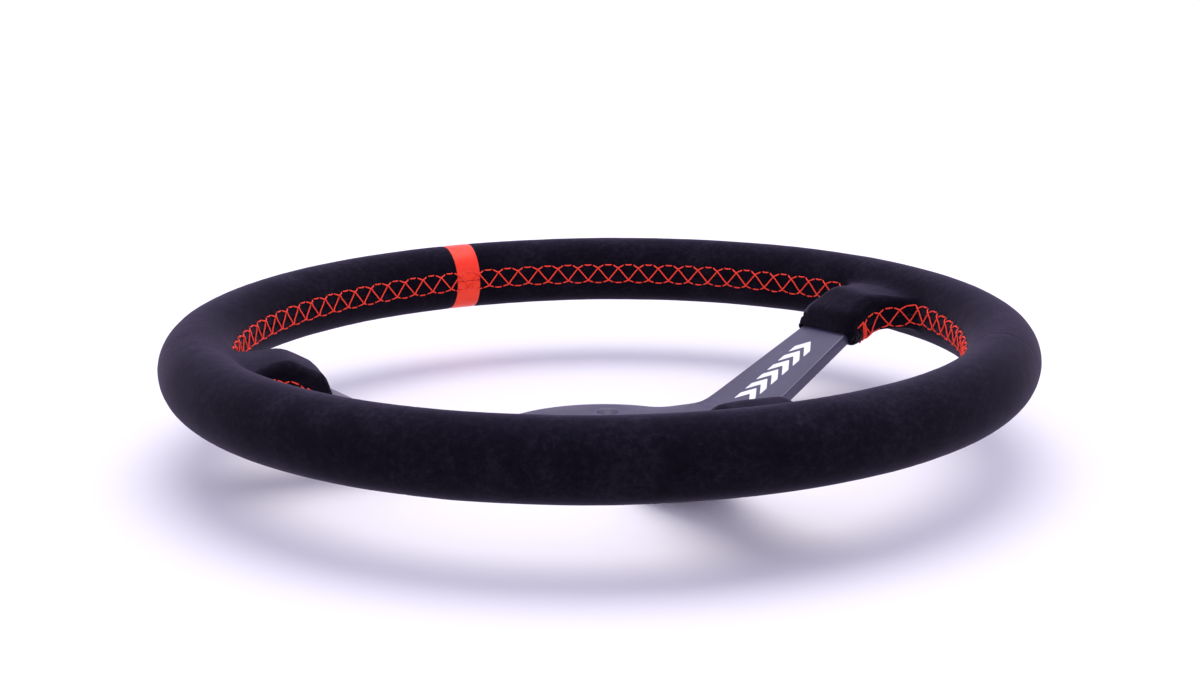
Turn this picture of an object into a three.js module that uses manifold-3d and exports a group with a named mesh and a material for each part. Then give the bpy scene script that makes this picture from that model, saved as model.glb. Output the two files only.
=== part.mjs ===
// A dished three-spoke steering wheel with a laced suede rim, in millimetres.
// The origin is the centre of the hub plate's rear face. +Z points at the driver and +Y at 12 o'clock.
import * as THREE from 'three';
import { mergeVertices } from 'three/addons/utils/BufferGeometryUtils.js';
import Module from 'manifold-3d';

const wasm = await Module();
wasm.setup();

// ---- driving dimensions -------------------------------------------------------------------
const gap = 0.3;                  // between any two neighbouring pieces
const rimRadius = 160.17;         // wheel axis to the middle of the grip
const gripRadius = 14.83;         // outside of the cover, across the grip
const dish = 39.3;                // rise of the rim's middle above the middle of the hub plate
const hoopRadius = 6;             // steel hoop inside the grip
const coverThickness = 1.2;
const seamWidth = 0.6;            // slit between the laced edges of the cover

const plateThickness = 4.6;
const hubRadius = 48.2;
const centreBoreRadius = 26;
const boltCircleRadius = 35;
const boltCount = 6;
const boltHoleRadius = 2.75;
const countersinkRadius = 5;
const countersinkDepth = 2.2;

const spokeAngles = { right: 84, bottom: 180, left: 276 };  // clockwise from 12 o'clock
const lowerBendRadius = 63.9;     // where the spoke leaves the hub plane
const upperBendInset = 14.83;     // from the rim's inner side to where the spoke reaches its plane
const spokeHalfWidthAtBend = 20.1;
const spokeTaper = 0.122;         // lost from each half width for each millimetre outwards
const hubFilletRadius = 12;

const bootLength = 16;            // mouth of the boot to the upper bend, measured outwards
const bootPadding = 4.6;          // foam and cover over each face of the plate
const bootMouthPadding = 1.3;     // the same at the boot's mouth
const bootSideWrap = 1.6;         // foam and cover beside the plate
const bootPadStart = 5;           // mouth to where the padding is full
const bootFlareRadius = 14;       // plan fillet between a boot and the rim

const bandHalfAngle = 2.2;        // 12 o'clock marker band, degrees

const saddleThickness = 1.5;
const saddleHalfLength = 9;       // along the rim
const saddleReach = 12;           // flat leaves, from the hoop towards the hub
const rivetRadius = 2;
const rivetHeadRadius = 3.4;
const rivetHeadHeight = 1.3;
const rivetSpacing = 9;

const laceThickness = 0.6;
const laceWidth = 9;
const laceEndAngle = 1.5;         // from a boot's middle to the end of a lacing, degrees

const printLength = 34;
const printWidth = 11;
const printThickness = 0.3;
const printStart = 71;            // wheel axis to the inner end of the print
const chevronCount = 6;
const chevronGap = 2.2;
const chevronLean = 4.4;          // how far each chevron's point leads its ends
const printLineWidth = 0.8;

// ---- sizes that follow ----------------------------------------------------------------------
const rimHeight = plateThickness / 2 + dish;
const rimInnerRadius = rimRadius - gripRadius;
const upperBendRadius = rimInnerRadius - upperBendInset;
const spokeSlope = dish / (upperBendRadius - lowerBendRadius);
const spokeAngle = Math.atan(spokeSlope);
const spokeRoot = (centreBoreRadius + hubRadius) / 2;
const mouthRadius = upperBendRadius - bootLength;
const bootHalfThickness = plateThickness / 2 + bootPadding;
const bootMouthHalfThickness = plateThickness / 2 + bootMouthPadding;
const hoopInnerRadius = rimRadius - hoopRadius;
const spokeEndRadius = Math.sqrt(
  (hoopInnerRadius - 2 * gap) ** 2 - spokeHalfWidth(hoopInnerRadius) ** 2);
const saddleEnd = hoopInnerRadius - saddleReach;
const cutReach = 2 * rimRadius;   // past the wheel's edge, for cutting tools
const overshoot = 1;              // past the face that a tool cuts through
const mouthOvershoot = 6;         // past a boot's mouth, for the tool that hollows it

// ---- how finely curves are divided ------------------------------------------------------------
const rimSteps = 60;
const gripSteps = 16;
const hoopSteps = 10;
const saddleSteps = 14;
const boreSteps = 40;
const holeSteps = 16;
const rivetSteps = 12;
const sectorSteps = 12;
const filletSteps = { spoke: 8, boot: 5 };

const colours = {
  suede: 0x141418, metal: 0x4a4a52, steel: 0x8d9096, foam: 0x2b2b2b,
  red: 0xf2452b, thread: 0xe8402f, white: 0xf2f2f2,
};

// ---- solids -----------------------------------------------------------------------------------
function solidFrom(geometry) {
  const bare = geometry.clone();
  bare.deleteAttribute('normal');
  bare.deleteAttribute('uv');
  const merged = mergeVertices(bare, 1e-4);
  const points = merged.attributes.position.array;
  const corners = [];
  for (let i = 0; i < merged.index.count; i += 3) {
    const [a, b, c] = merged.index.array.slice(i, i + 3);
    if (a !== b && b !== c && c !== a) corners.push(a, b, c);
  }
  if (signedVolume(points, corners) < 0) corners.reverse();
  const mesh = new wasm.Mesh({
    numProp: 3,
    vertProperties: Float32Array.from(points),
    triVerts: Uint32Array.from(corners),
  });
  return new wasm.Manifold(mesh);
}

function signedVolume(points, corners) {
  const [a, b, c] = [new THREE.Vector3(), new THREE.Vector3(), new THREE.Vector3()];
  let total = 0;
  for (let i = 0; i < corners.length; i += 3) {
    a.fromArray(points, corners[i] * 3);
    b.fromArray(points, corners[i + 1] * 3);
    c.fromArray(points, corners[i + 2] * 3);
    total += a.dot(b.cross(c)) / 6;
  }
  return total;
}

function geometryFrom(solid) {
  const mesh = solid.getMesh();
  const geometry = new THREE.BufferGeometry();
  geometry.setAttribute('position', new THREE.BufferAttribute(mesh.vertProperties, 3));
  geometry.setIndex(new THREE.BufferAttribute(mesh.triVerts, 1));
  geometry.computeVertexNormals();
  return geometry;
}

function unite(solids) {
  return solids.reduce((sum, next) => sum.add(next));
}

// A flat outline in X and Y, raised from one height to another.
function prism(shape, bottom, top, curveSegments = 1) {
  const geometry = new THREE.ExtrudeGeometry(shape, {
    depth: top - bottom, bevelEnabled: false, curveSegments,
  });
  geometry.translate(0, 0, bottom);
  return solidFrom(geometry);
}

// An outline of radius and height, spun about Z.
function turning(outline, steps) {
  const points = [...outline, outline[0]].map(([x, y]) => new THREE.Vector2(x, y));
  const geometry = new THREE.LatheGeometry(points, steps);
  geometry.rotateX(Math.PI / 2);
  return solidFrom(geometry);
}

function ring(outline) {
  return turning(outline, rimSteps);
}

function disc(radius, bottom, top, steps) {
  return turning([[0, bottom], [radius, bottom], [radius, top], [0, top]], steps);
}

function circleOutline(radius, steps) {
  const outline = [];
  for (let i = 0; i < steps; i += 1) {
    const turn = 2 * Math.PI * i / steps;
    outline.push([rimRadius + radius * Math.cos(turn), radius * Math.sin(turn)]);
  }
  return outline;
}

function polygon(corners) {
  return new THREE.Shape(corners.map(([x, y]) => new THREE.Vector2(x, y)));
}

// A side view of a spoke, as radius and height, made as wide as `halfWidth` each way.
// The spoke lies along +X here; `turned` puts it at its place on the wheel.
function sideProfile(corners, halfWidth) {
  const geometry = new THREE.ExtrudeGeometry(polygon(corners), {
    depth: 2 * halfWidth, bevelEnabled: false,
  });
  geometry.translate(0, 0, -halfWidth);
  geometry.rotateX(Math.PI / 2);
  return solidFrom(geometry);
}

// A box along +X between two radii.
function radialBlock(from, to, halfWidth, halfHeight) {
  const corners = [[from, -halfWidth], [to, -halfWidth], [to, halfWidth], [from, halfWidth]];
  return prism(polygon(corners), -halfHeight, halfHeight);
}

function clockTurn(clockAngle) {
  return 90 - clockAngle;
}

function turned(solid, clockAngle) {
  return solid.rotate([0, 0, clockTurn(clockAngle)]);
}

// The slice of the wheel between two clock angles.
function sector(from, to) {
  const shape = new THREE.Shape();
  shape.moveTo(0, 0);
  for (let i = 0; i <= sectorSteps; i += 1) {
    const turn = THREE.MathUtils.degToRad(clockTurn(from + (to - from) * i / sectorSteps));
    shape.lineTo(cutReach * Math.cos(turn), cutReach * Math.sin(turn));
  }
  return prism(shape, -cutReach, cutReach);
}

// ---- spoke plate ------------------------------------------------------------------------------
function spokeHalfWidth(radius) {
  return spokeHalfWidthAtBend - spokeTaper * (radius - lowerBendRadius);
}

// The middle line of the bent plate, from the hub plane up to the rim plane, offset by a distance
// along its own normal. Heights are above the middle of the rim.
function bentLine(startRadius, endRadius, offset) {
  const half = spokeAngle / 2;
  return [
    [startRadius, offset - dish],
    [lowerBendRadius - offset * Math.tan(half), offset - dish],
    [upperBendRadius - offset * Math.tan(half), offset],
    [endRadius, offset],
  ];
}

function bentStrip(startRadius, endRadius, thickness, halfWidth) {
  const top = bentLine(startRadius, endRadius, thickness / 2);
  const bottom = bentLine(startRadius, endRadius, -thickness / 2);
  return sideProfile([...top, ...bottom.reverse()], halfWidth);
}

function spokePlan(extra, endRadius) {
  const half = (radius) => spokeHalfWidth(radius) + extra;
  const taper = Math.hypot(1, spokeTaper);
  const edgeHeight = half(0) + hubFilletRadius * taper;
  const reach = (hubRadius + hubFilletRadius) * taper;
  const filletX = (spokeTaper * edgeHeight + Math.sqrt(reach ** 2 - edgeHeight ** 2)) / taper ** 2;
  const filletY = edgeHeight - spokeTaper * filletX;
  const leaves = Math.atan2(filletY, filletX);
  const meets = Math.PI / 2 + Math.atan(spokeTaper);
  const shape = new THREE.Shape();
  shape.moveTo(spokeRoot * Math.cos(leaves), spokeRoot * Math.sin(leaves));
  shape.lineTo(spokeRoot * Math.cos(leaves), -spokeRoot * Math.sin(leaves));
  shape.absarc(filletX, -filletY, hubFilletRadius, Math.PI - leaves, meets, true);
  shape.lineTo(endRadius, -half(endRadius));
  shape.lineTo(endRadius, half(endRadius));
  shape.absarc(filletX, filletY, hubFilletRadius, -meets, leaves - Math.PI, true);
  return shape;
}

function boltHole() {
  const outline = [
    [0, -overshoot],
    [boltHoleRadius, -overshoot],
    [boltHoleRadius, plateThickness - countersinkDepth],
    [countersinkRadius, plateThickness],
    [countersinkRadius, plateThickness + overshoot],
    [0, plateThickness + overshoot],
  ];
  return turning(outline, holeSteps);
}

function spokePlateSolid() {
  const strip = bentStrip(spokeRoot / 2, spokeEndRadius, plateThickness, cutReach);
  const tall = prism(spokePlan(0, spokeEndRadius), -cutReach, cutReach, filletSteps.spoke);
  const spoke = strip.intersect(tall).translate([0, 0, rimHeight]);
  let plate = disc(hubRadius, 0, plateThickness, rimSteps);
  for (const angle of Object.values(spokeAngles)) {
    plate = plate.add(turned(spoke, angle));
  }
  const bore = disc(centreBoreRadius, -overshoot, plateThickness + overshoot, boreSteps);
  plate = plate.subtract(bore);
  for (let i = 0; i < boltCount; i += 1) {
    const clock = (i + 0.5) * 360 / boltCount;
    const hole = boltHole().translate([boltCircleRadius, 0, 0]);
    plate = plate.subtract(turned(hole, clock));
  }
  const rivetHole = disc(rivetRadius + gap, -plateThickness, plateThickness, holeSteps);
  for (const angle of Object.values(spokeAngles)) {
    for (const side of [-1, 1]) {
      const place = [rivetPlace(), side * rivetSpacing / 2, rimHeight];
      plate = plate.subtract(turned(rivetHole.translate(place), angle));
    }
  }
  return plate;
}

// ---- grip: the shape that the cover, the foam and the lacing all follow --------------------------
// Everything from here to the marker band is measured from the middle of the rim.
function bootSide(inset, mouthOffset) {
  const normal = [-Math.sin(spokeAngle), Math.cos(spokeAngle)];
  const along = [Math.cos(spokeAngle), Math.sin(spokeAngle)];
  const side = (sign) => {
    const edge = (radius, half) => {
      const height = (radius - upperBendRadius) * spokeSlope;
      return [radius + sign * half * normal[0], height + sign * half * normal[1]];
    };
    const mouth = edge(mouthRadius, bootMouthHalfThickness - inset);
    const full = bootHalfThickness - inset;
    return [
      [mouth[0] + mouthOffset * along[0], mouth[1] + mouthOffset * along[1]],
      edge(mouthRadius + bootPadStart, full),
      [upperBendRadius - sign * full * Math.tan(spokeAngle / 2), sign * full],
      [rimRadius, sign * full],
    ];
  };
  return [...side(1), ...side(-1).reverse()];
}

function bootPlan(inset) {
  const half = (radius) => spokeHalfWidth(radius) + bootSideWrap - inset;
  const flare = bootFlareRadius + inset;
  const flareStart = rimInnerRadius - bootFlareRadius;
  const filletY = half(flareStart) + flare;
  const start = mouthRadius - 2 * mouthOvershoot;
  const shape = new THREE.Shape();
  shape.moveTo(start, half(start));
  shape.lineTo(start, -half(start));
  shape.absarc(flareStart, -filletY, flare, Math.PI / 2, 0, true);
  shape.lineTo(rimRadius, -filletY);
  shape.lineTo(rimRadius, filletY);
  shape.absarc(flareStart, filletY, flare, 0, -Math.PI / 2, true);
  return shape;
}

// The whole grip, shrunk by `inset`. `mouthOffset` moves the boots' ends outwards.
function gripEnvelope(inset, mouthOffset) {
  const side = sideProfile(bootSide(inset, mouthOffset), cutReach);
  const boot = side.intersect(prism(bootPlan(inset), -cutReach, cutReach, filletSteps.boot));
  const boots = Object.values(spokeAngles).map((angle) => turned(boot, angle));
  return unite([ring(circleOutline(gripRadius - inset, gripSteps)), ...boots]);
}

// The sheet on which the cover's edges meet: the rim plane, and the middle of each spoke.
function seamSheet(rimThickness, bootThickness) {
  const reach = rimInnerRadius + 2 * coverThickness;
  const flat = disc(reach, -rimThickness / 2, rimThickness / 2, rimSteps)
    .subtract(disc(upperBendRadius, -rimThickness, rimThickness, rimSteps));
  const halfWidth = spokeHalfWidthAtBend + bootFlareRadius;
  const strip = bentStrip(lowerBendRadius, rimInnerRadius, bootThickness, halfWidth);
  const strips = Object.values(spokeAngles).map((angle) => turned(strip, angle));
  return unite([flat, ...strips]);
}

function coverShell() {
  return gripEnvelope(0, 0)
    .subtract(gripEnvelope(coverThickness, -mouthOvershoot))
    .subtract(seamSheet(seamWidth, seamWidth));
}

function foamSolid() {
  const saddle = saddleCutter();
  const slotEnd = spokeEndRadius + gap;
  const strip = bentStrip(lowerBendRadius, slotEnd, plateThickness + 2 * gap, cutReach);
  const tall = prism(spokePlan(gap, slotEnd), -cutReach, cutReach, filletSteps.spoke);
  const slot = strip.intersect(tall);
  const cutters = Object.values(spokeAngles).map((angle) => turned(slot.add(saddle), angle));
  return gripEnvelope(coverThickness + gap, gap)
    .subtract(ring(circleOutline(hoopRadius + gap, hoopSteps)))
    .subtract(unite(cutters));
}

// One lacing runs round a window: along the rim's inner side and down the two boots beside it.
function lacingSolid(from, to) {
  return gripEnvelope(-gap - laceThickness, 0)
    .subtract(gripEnvelope(-gap, -mouthOvershoot))
    .intersect(seamSheet(laceWidth, 2 * bootMouthHalfThickness))
    .intersect(sector(from + laceEndAngle, to - laceEndAngle));
}

// ---- hoop, saddles and rivets ---------------------------------------------------------------------
function rivetPlace() {
  return spokeEndRadius - saddleReach / 2;
}

function saddleOutline(thickness, clearance) {
  const inner = hoopRadius + clearance;
  const outer = inner + thickness;
  const leafInside = plateThickness / 2 + clearance;
  const leafOutside = leafInside + thickness;
  const end = saddleEnd - overshoot;
  const outline = [[end, leafInside], [end, leafOutside]];
  const arc = (radius, height, sign) => {
    const start = Math.asin(height / radius);
    const points = [];
    for (let i = 0; i <= saddleSteps; i += 1) {
      const turn = Math.PI - start - (2 * Math.PI - 2 * start) * i / saddleSteps;
      points.push([rimRadius + radius * Math.cos(turn), sign * radius * Math.sin(turn)]);
    }
    return points;
  };
  outline.push(...arc(outer, leafOutside, 1));
  outline.push([end, -leafOutside], [end, -leafInside]);
  outline.push(...arc(inner, leafInside, -1));
  return outline;
}

function saddleSolid() {
  const block = radialBlock(saddleEnd, cutReach, saddleHalfLength, cutReach);
  let saddle = ring(saddleOutline(saddleThickness, gap)).intersect(block);
  for (const side of [-1, 1]) {
    const hole = disc(rivetRadius + gap, -cutReach, cutReach, holeSteps);
    saddle = saddle.subtract(hole.translate([rivetPlace(), side * rivetSpacing / 2, 0]));
  }
  return saddle;
}

// The room that the foam leaves for one saddle and its rivets.
function saddleCutter() {
  const half = plateThickness / 2 + 2 * gap + saddleThickness + rivetHeadHeight + gap;
  const wide = saddleHalfLength + gap;
  const leaves = radialBlock(saddleEnd - gap, rimRadius, wide, half);
  const wrap = ring(circleOutline(hoopRadius + saddleThickness + 3 * gap, gripSteps));
  return leaves.add(wrap.intersect(radialBlock(0, cutReach, wide, cutReach)));
}

function rivetSolid() {
  const headBottom = plateThickness / 2 + gap + saddleThickness + gap;
  const headTop = headBottom + rivetHeadHeight;
  const shank = disc(rivetRadius, -headTop, headTop, rivetSteps);
  const head = disc(rivetHeadRadius, headBottom, headTop, rivetSteps);
  return unite([shank, head, head.rotate([180, 0, 0])]);
}

// ---- print -----------------------------------------------------------------------------------------
// A row of chevrons joined by a narrow line, lying along +X from the origin.
function printSolid() {
  const pitch = printLength / chevronCount;
  const half = printWidth / 2;
  const arm = pitch - chevronGap;
  const lineHalf = printLineWidth / 2;
  const outlines = [
    [[chevronLean, -lineHalf], [printLength, -lineHalf], [printLength, lineHalf], [chevronLean, lineHalf]],
  ];
  for (let i = 0; i < chevronCount; i += 1) {
    const x = i * pitch;
    const tip = x + chevronLean;
    outlines.push([[x, -half], [x + arm, -half], [tip + arm, 0], [x + arm, half], [x, half], [tip, 0]]);
  }
  return unite(outlines.map((outline) => prism(polygon(outline), 0, printThickness)));
}

// ---- assembly --------------------------------------------------------------------------------------
function piece(name, solid, color, roughness, metalness) {
  const material = new THREE.MeshStandardMaterial({ color, roughness, metalness });
  const mesh = new THREE.Mesh(geometryFrom(solid), material);
  mesh.name = name;
  return mesh;
}

const suede = [colours.suede, 0.95, 0];
const metal = [colours.metal, 0.45, 0.8];
const steel = [colours.steel, 0.4, 1];

const wheel = new THREE.Group();
wheel.add(piece('spoke_plate', spokePlateSolid(), ...metal));

const rim = new THREE.Group();
rim.position.z = rimHeight;
wheel.add(rim);

rim.add(piece('rim_hoop', ring(circleOutline(hoopRadius, hoopSteps)), ...steel));
rim.add(piece('foam_grip', foamSolid(), colours.foam, 0.9, 0));

const shell = coverShell();
const panelEdge = THREE.MathUtils.radToDeg(gap / 2 / rimRadius);
const rightJoint = (spokeAngles.right + spokeAngles.bottom) / 2;
const leftJoint = (spokeAngles.bottom + spokeAngles.left) / 2;
const bandEdge = bandHalfAngle + 2 * panelEdge;
const panels = {
  cover_right: [bandEdge, rightJoint - panelEdge],
  cover_bottom: [rightJoint + panelEdge, leftJoint - panelEdge],
  cover_left: [leftJoint + panelEdge, 360 - bandEdge],
};
for (const [name, [from, to]] of Object.entries(panels)) {
  rim.add(piece(name, shell.intersect(sector(from, to)), ...suede));
}
const band = shell.intersect(sector(-bandHalfAngle, bandHalfAngle));
rim.add(piece('marker_band', band, colours.red, 0.4, 0));

const windows = {
  lacing_top: [spokeAngles.left - 360, spokeAngles.right],
  lacing_lower_right: [spokeAngles.right, spokeAngles.bottom],
  lacing_lower_left: [spokeAngles.bottom, spokeAngles.left],
};
for (const [name, [from, to]] of Object.entries(windows)) {
  rim.add(piece(name, lacingSolid(from, to), colours.thread, 0.6, 0));
}

for (const [side, angle] of Object.entries(spokeAngles)) {
  const spokeEnd = new THREE.Group();
  spokeEnd.rotation.z = THREE.MathUtils.degToRad(clockTurn(angle));
  rim.add(spokeEnd);
  spokeEnd.add(piece(`saddle_${side}`, saddleSolid(), ...steel));
  for (const [index, offset] of [-rivetSpacing / 2, rivetSpacing / 2].entries()) {
    const rivet = piece(`rivet_${side}_${index + 1}`, rivetSolid(), ...steel);
    rivet.position.set(rivetPlace(), offset, 0);
    spokeEnd.add(rivet);
  }
}

const printPlace = new THREE.Group();
printPlace.rotation.z = THREE.MathUtils.degToRad(clockTurn(spokeAngles.right));
rim.add(printPlace);
const print = piece('spoke_print', printSolid(), colours.white, 0.5, 0);
const lift = plateThickness / 2 + gap;
print.position.set(
  printStart - lift * Math.sin(spokeAngle),
  0,
  (printStart - upperBendRadius) * spokeSlope + lift * Math.cos(spokeAngle),
);
print.rotation.y = -spokeAngle;
printPlace.add(print);

export default wheel;
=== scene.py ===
# A dished three-spoke steering wheel, lying face up on a pale studio floor.
# Sizes in the sections are millimetres unless they say metres, measured from the middle of the rim.
import math

import bmesh
import bpy
import numpy as np
from mathutils import Matrix, Vector, noise
from mathutils.kdtree import KDTree


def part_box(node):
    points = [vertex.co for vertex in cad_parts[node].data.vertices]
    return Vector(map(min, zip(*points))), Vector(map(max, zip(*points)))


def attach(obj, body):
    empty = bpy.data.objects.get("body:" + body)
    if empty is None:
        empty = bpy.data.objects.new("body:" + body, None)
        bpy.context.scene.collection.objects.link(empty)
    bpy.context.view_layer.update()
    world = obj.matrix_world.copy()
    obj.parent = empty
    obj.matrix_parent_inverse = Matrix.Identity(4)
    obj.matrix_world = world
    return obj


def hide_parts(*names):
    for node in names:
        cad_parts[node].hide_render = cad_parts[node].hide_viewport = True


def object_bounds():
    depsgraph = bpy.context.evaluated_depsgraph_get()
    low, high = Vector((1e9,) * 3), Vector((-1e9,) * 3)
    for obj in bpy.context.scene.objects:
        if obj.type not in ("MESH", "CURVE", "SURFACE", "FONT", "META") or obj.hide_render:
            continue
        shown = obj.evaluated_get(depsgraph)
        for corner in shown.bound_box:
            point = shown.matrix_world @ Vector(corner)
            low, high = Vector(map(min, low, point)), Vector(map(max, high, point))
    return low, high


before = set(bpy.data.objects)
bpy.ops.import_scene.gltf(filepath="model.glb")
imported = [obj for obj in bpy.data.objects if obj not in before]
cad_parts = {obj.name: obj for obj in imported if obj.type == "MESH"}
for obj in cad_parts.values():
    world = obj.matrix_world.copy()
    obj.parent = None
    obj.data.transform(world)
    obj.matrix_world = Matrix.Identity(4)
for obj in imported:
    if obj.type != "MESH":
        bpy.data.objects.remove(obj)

cad_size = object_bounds()


# ---- Camera, floor and light ---------------------------------------------------------------------
# A long lens looks across the rim from low down, behind and to the left of it.
# The wheel rests on its hub plate, on a white floor under one large overhead softbox.
camera_data = bpy.data.cameras.new("camera")
camera_data.sensor_width = 36
camera_data.lens = 61.29
camera = bpy.data.objects.new("camera", camera_data)
bpy.context.collection.objects.link(camera)
look = Vector((0.4056, 0.8850, -0.2289)).normalized()
camera_right = look.cross(Vector((0.1051, 0.2036, 0.9734))).normalized()
camera_up = camera_right.cross(look)
camera.matrix_world = (Matrix.Translation((-0.3345, -0.7306, 0.2342))
                       @ Matrix((camera_right, camera_up, -look)).transposed().to_4x4())
bpy.context.scene.camera = camera
bpy.context.scene.view_settings.view_transform = "Standard"


def new_material(name):
    material = bpy.data.materials.new(name)
    material.use_nodes = True
    material.node_tree.nodes.clear()
    shader = material.node_tree.nodes.new("ShaderNodeBsdfPrincipled")
    output = material.node_tree.nodes.new("ShaderNodeOutputMaterial")
    material.node_tree.links.new(shader.outputs["BSDF"], output.inputs["Surface"])
    return material, shader


def add_node(material, kind, settings=None, **inputs):
    """A node whose inputs are given by name: a number, a colour, or another node's output."""
    node = material.node_tree.nodes.new(kind)
    for name, value in (settings or {}).items():
        setattr(node, name, value)
    for name, value in inputs.items():
        key = name.replace("_", " ")
        socket = node.inputs[int(key[3:])] if key.startswith("in ") else node.inputs[key]
        if isinstance(value, bpy.types.NodeSocket):
            material.node_tree.links.new(value, socket)
        else:
            socket.default_value = value
    return node


def feed(material, source, socket):
    material.node_tree.links.new(source, socket)


def ramp(material, factor, stops):
    """A colour ramp with (position, grey or colour) stops."""
    node = add_node(material, "ShaderNodeValToRGB", Fac=factor)
    elements = node.color_ramp.elements
    while len(elements) < len(stops):
        elements.new(0.5)
    for element, (position, colour) in zip(elements, stops):
        element.position = position
        element.color = (*colour, 1) if isinstance(colour, tuple) else (colour, colour, colour, 1)
    return node.outputs["Color"]


def object_noise(material, scale, detail=2.0, roughness=0.5, kind="ShaderNodeTexNoise"):
    place = add_node(material, "ShaderNodeTexCoord").outputs["Object"]
    if kind == "ShaderNodeTexNoise":
        return add_node(material, kind, Vector=place, Scale=scale, Detail=detail,
                        Roughness=roughness).outputs["Fac"]
    return add_node(material, kind, Vector=place, Scale=scale).outputs["Distance"]


floor_material, floor_shader = new_material("studio_floor")
floor_shader.inputs["Base Color"].default_value = (0.87, 0.86, 0.89, 1)
floor_shader.inputs["Roughness"].default_value = 0.7
floor_shader.inputs["Specular IOR Level"].default_value = 0.2
floor_mesh = bpy.data.meshes.new("floor")
floor_form = bmesh.new()
bmesh.ops.create_circle(floor_form, cap_ends=True, segments=96, radius=9.0)
floor_form.to_mesh(floor_mesh)
floor_form.free()
floor_mesh.materials.append(floor_material)
floor = bpy.data.objects.new("floor", floor_mesh)
floor.location.z = cad_size[0][2] - 0.0002
bpy.context.collection.objects.link(floor)

world = bpy.data.worlds.new("studio")
world.use_nodes = True
world.node_tree.nodes["Background"].inputs["Color"].default_value = (0.83, 0.79, 1.0, 1)
world.node_tree.nodes["Background"].inputs["Strength"].default_value = 1.2
bpy.context.scene.world = world

lamp_data = bpy.data.lights.new("softbox", "SUN")
lamp_data.energy = 1.2
lamp_data.angle = math.radians(50)
lamp_data.color = (1.0, 0.985, 0.87)
lamp = bpy.data.objects.new("softbox", lamp_data)
lamp.rotation_euler = Vector((-0.10, -0.16, -1)).to_track_quat("-Z", "Y").to_euler()
bpy.context.collection.objects.link(lamp)


# ---- Hoop, saddles and rivets --------------------------------------------------------------------
# A bent steel hoop carries the rim. A zinc-plated saddle is clamped over it at each spoke and
# riveted through the spoke's end. All of it is buried in the foam.
zinc, zinc_shader = new_material("zinc_plated_steel")
zinc_shader.inputs["Metallic"].default_value = 1.0
zinc_cloud = object_noise(zinc, 140, 4)
feed(zinc, ramp(zinc, zinc_cloud, [(0.3, (0.40, 0.41, 0.43)), (0.7, (0.58, 0.58, 0.60))]),
     zinc_shader.inputs["Base Color"])
feed(zinc, ramp(zinc, zinc_cloud, [(0.3, 0.28), (0.75, 0.5)]), zinc_shader.inputs["Roughness"])
zinc_bump = add_node(zinc, "ShaderNodeBump", Strength=0.25, Distance=0.0003,
                     Height=object_noise(zinc, 1800, 2))
feed(zinc, zinc_bump.outputs["Normal"], zinc_shader.inputs["Normal"])
for node_name, node_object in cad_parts.items():
    if node_name.startswith(("rim_hoop", "saddle_", "rivet_")):
        node_object.data.materials.clear()
        node_object.data.materials.append(zinc)


# ---- Spoke plate ---------------------------------------------------------------------------------
# One flat blank of 4.6 mm aluminium: a round hub with a centre bore and six countersunk holes, and
# three tapering spokes pressed up into the dish. It is anodised satin black with a blue cast, and
# its edges are worn a little brighter.
grip_radius = (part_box("marker_band")[1][2] - sum(c[2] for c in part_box("rim_hoop")) / 2) * 1000
rim_radius = cad_size[1][0] * 1000 - grip_radius
rim_height = sum(c[2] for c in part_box("rim_hoop")) * 500
plate_half = 2.3
dish = rim_height - plate_half
hub_radius, hub_fillet = 48.2, 12.0
spoke_end = (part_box("spoke_plate")[1][0] * 1000 - 0.97) / math.sin(math.radians(84))
rivet_radius, rivet_side = 2.3, 4.5
spoke_clocks = {"right": 84.0, "bottom": 180.0, "left": 276.0}
bend_inset = 14.83
lower_bend, upper_bend = 63.9, rim_radius - grip_radius - bend_inset
spoke_slope = dish / (upper_bend - lower_bend)
spoke_lean = math.atan(spoke_slope)


half_width_at_bend, spoke_taper = 20.1, 0.122


def spoke_half_width(out):
    return half_width_at_bend - spoke_taper * (out - lower_bend)


def plate_middle(out, softness=2.0):
    """Height of the bent plate's middle above the rim's middle, and the slope there."""
    upper = (upper_bend - out) / softness
    lower = (lower_bend - out) / softness
    height = softness * (np.logaddexp(0, lower) - np.logaddexp(0, upper)) * spoke_slope
    slope = spoke_slope * (1 / (1 + np.exp(-upper)) - 1 / (1 + np.exp(-lower)))
    return height, slope


def clock_direction(clock):
    turn = math.radians(clock)
    return np.array([math.sin(turn), math.cos(turn)])


def plate_outline():
    """The blank's outline, anticlockwise, as points and outward normals."""
    length = math.hypot(1, spoke_taper)
    edge = spoke_half_width(0) + hub_fillet * length
    reach = (hub_radius + hub_fillet) * length
    centre_out = (spoke_taper * edge + math.sqrt(reach ** 2 - edge ** 2)) / length ** 2
    centre_side = edge - spoke_taper * centre_out
    leaves = math.atan2(centre_side, centre_out)
    lean = math.atan(spoke_taper)
    one = []
    for turn in np.linspace(math.pi + leaves, 1.5 * math.pi - lean, 14):
        direction = np.array([math.cos(turn), math.sin(turn)])
        one.append((np.array([centre_out, centre_side]) + hub_fillet * direction, -direction))
    side_normal = np.array([math.sin(lean), math.cos(lean)])
    for out in np.linspace(one[-1][0][0], spoke_end, 24)[1:]:
        one.append((np.array([out, spoke_half_width(out)]), side_normal))
    mirrored = [(p * [1, -1], n * [1, -1]) for p, n in one]
    spoke = mirrored + one[::-1]
    points = []
    angles = sorted(90 - clock for clock in spoke_clocks.values())
    for here, following in zip(angles, angles[1:] + [angles[0] + 360]):
        turn = math.radians(here)
        rotation = np.array([[math.cos(turn), -math.sin(turn)], [math.sin(turn), math.cos(turn)]])
        points += [(rotation @ p, rotation @ n) for p, n in spoke]
        for step in np.linspace(turn + leaves, math.radians(following) - leaves, 40)[1:-1]:
            direction = np.array([math.cos(step), math.sin(step)])
            points.append((hub_radius * direction, direction))
    return points


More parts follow.
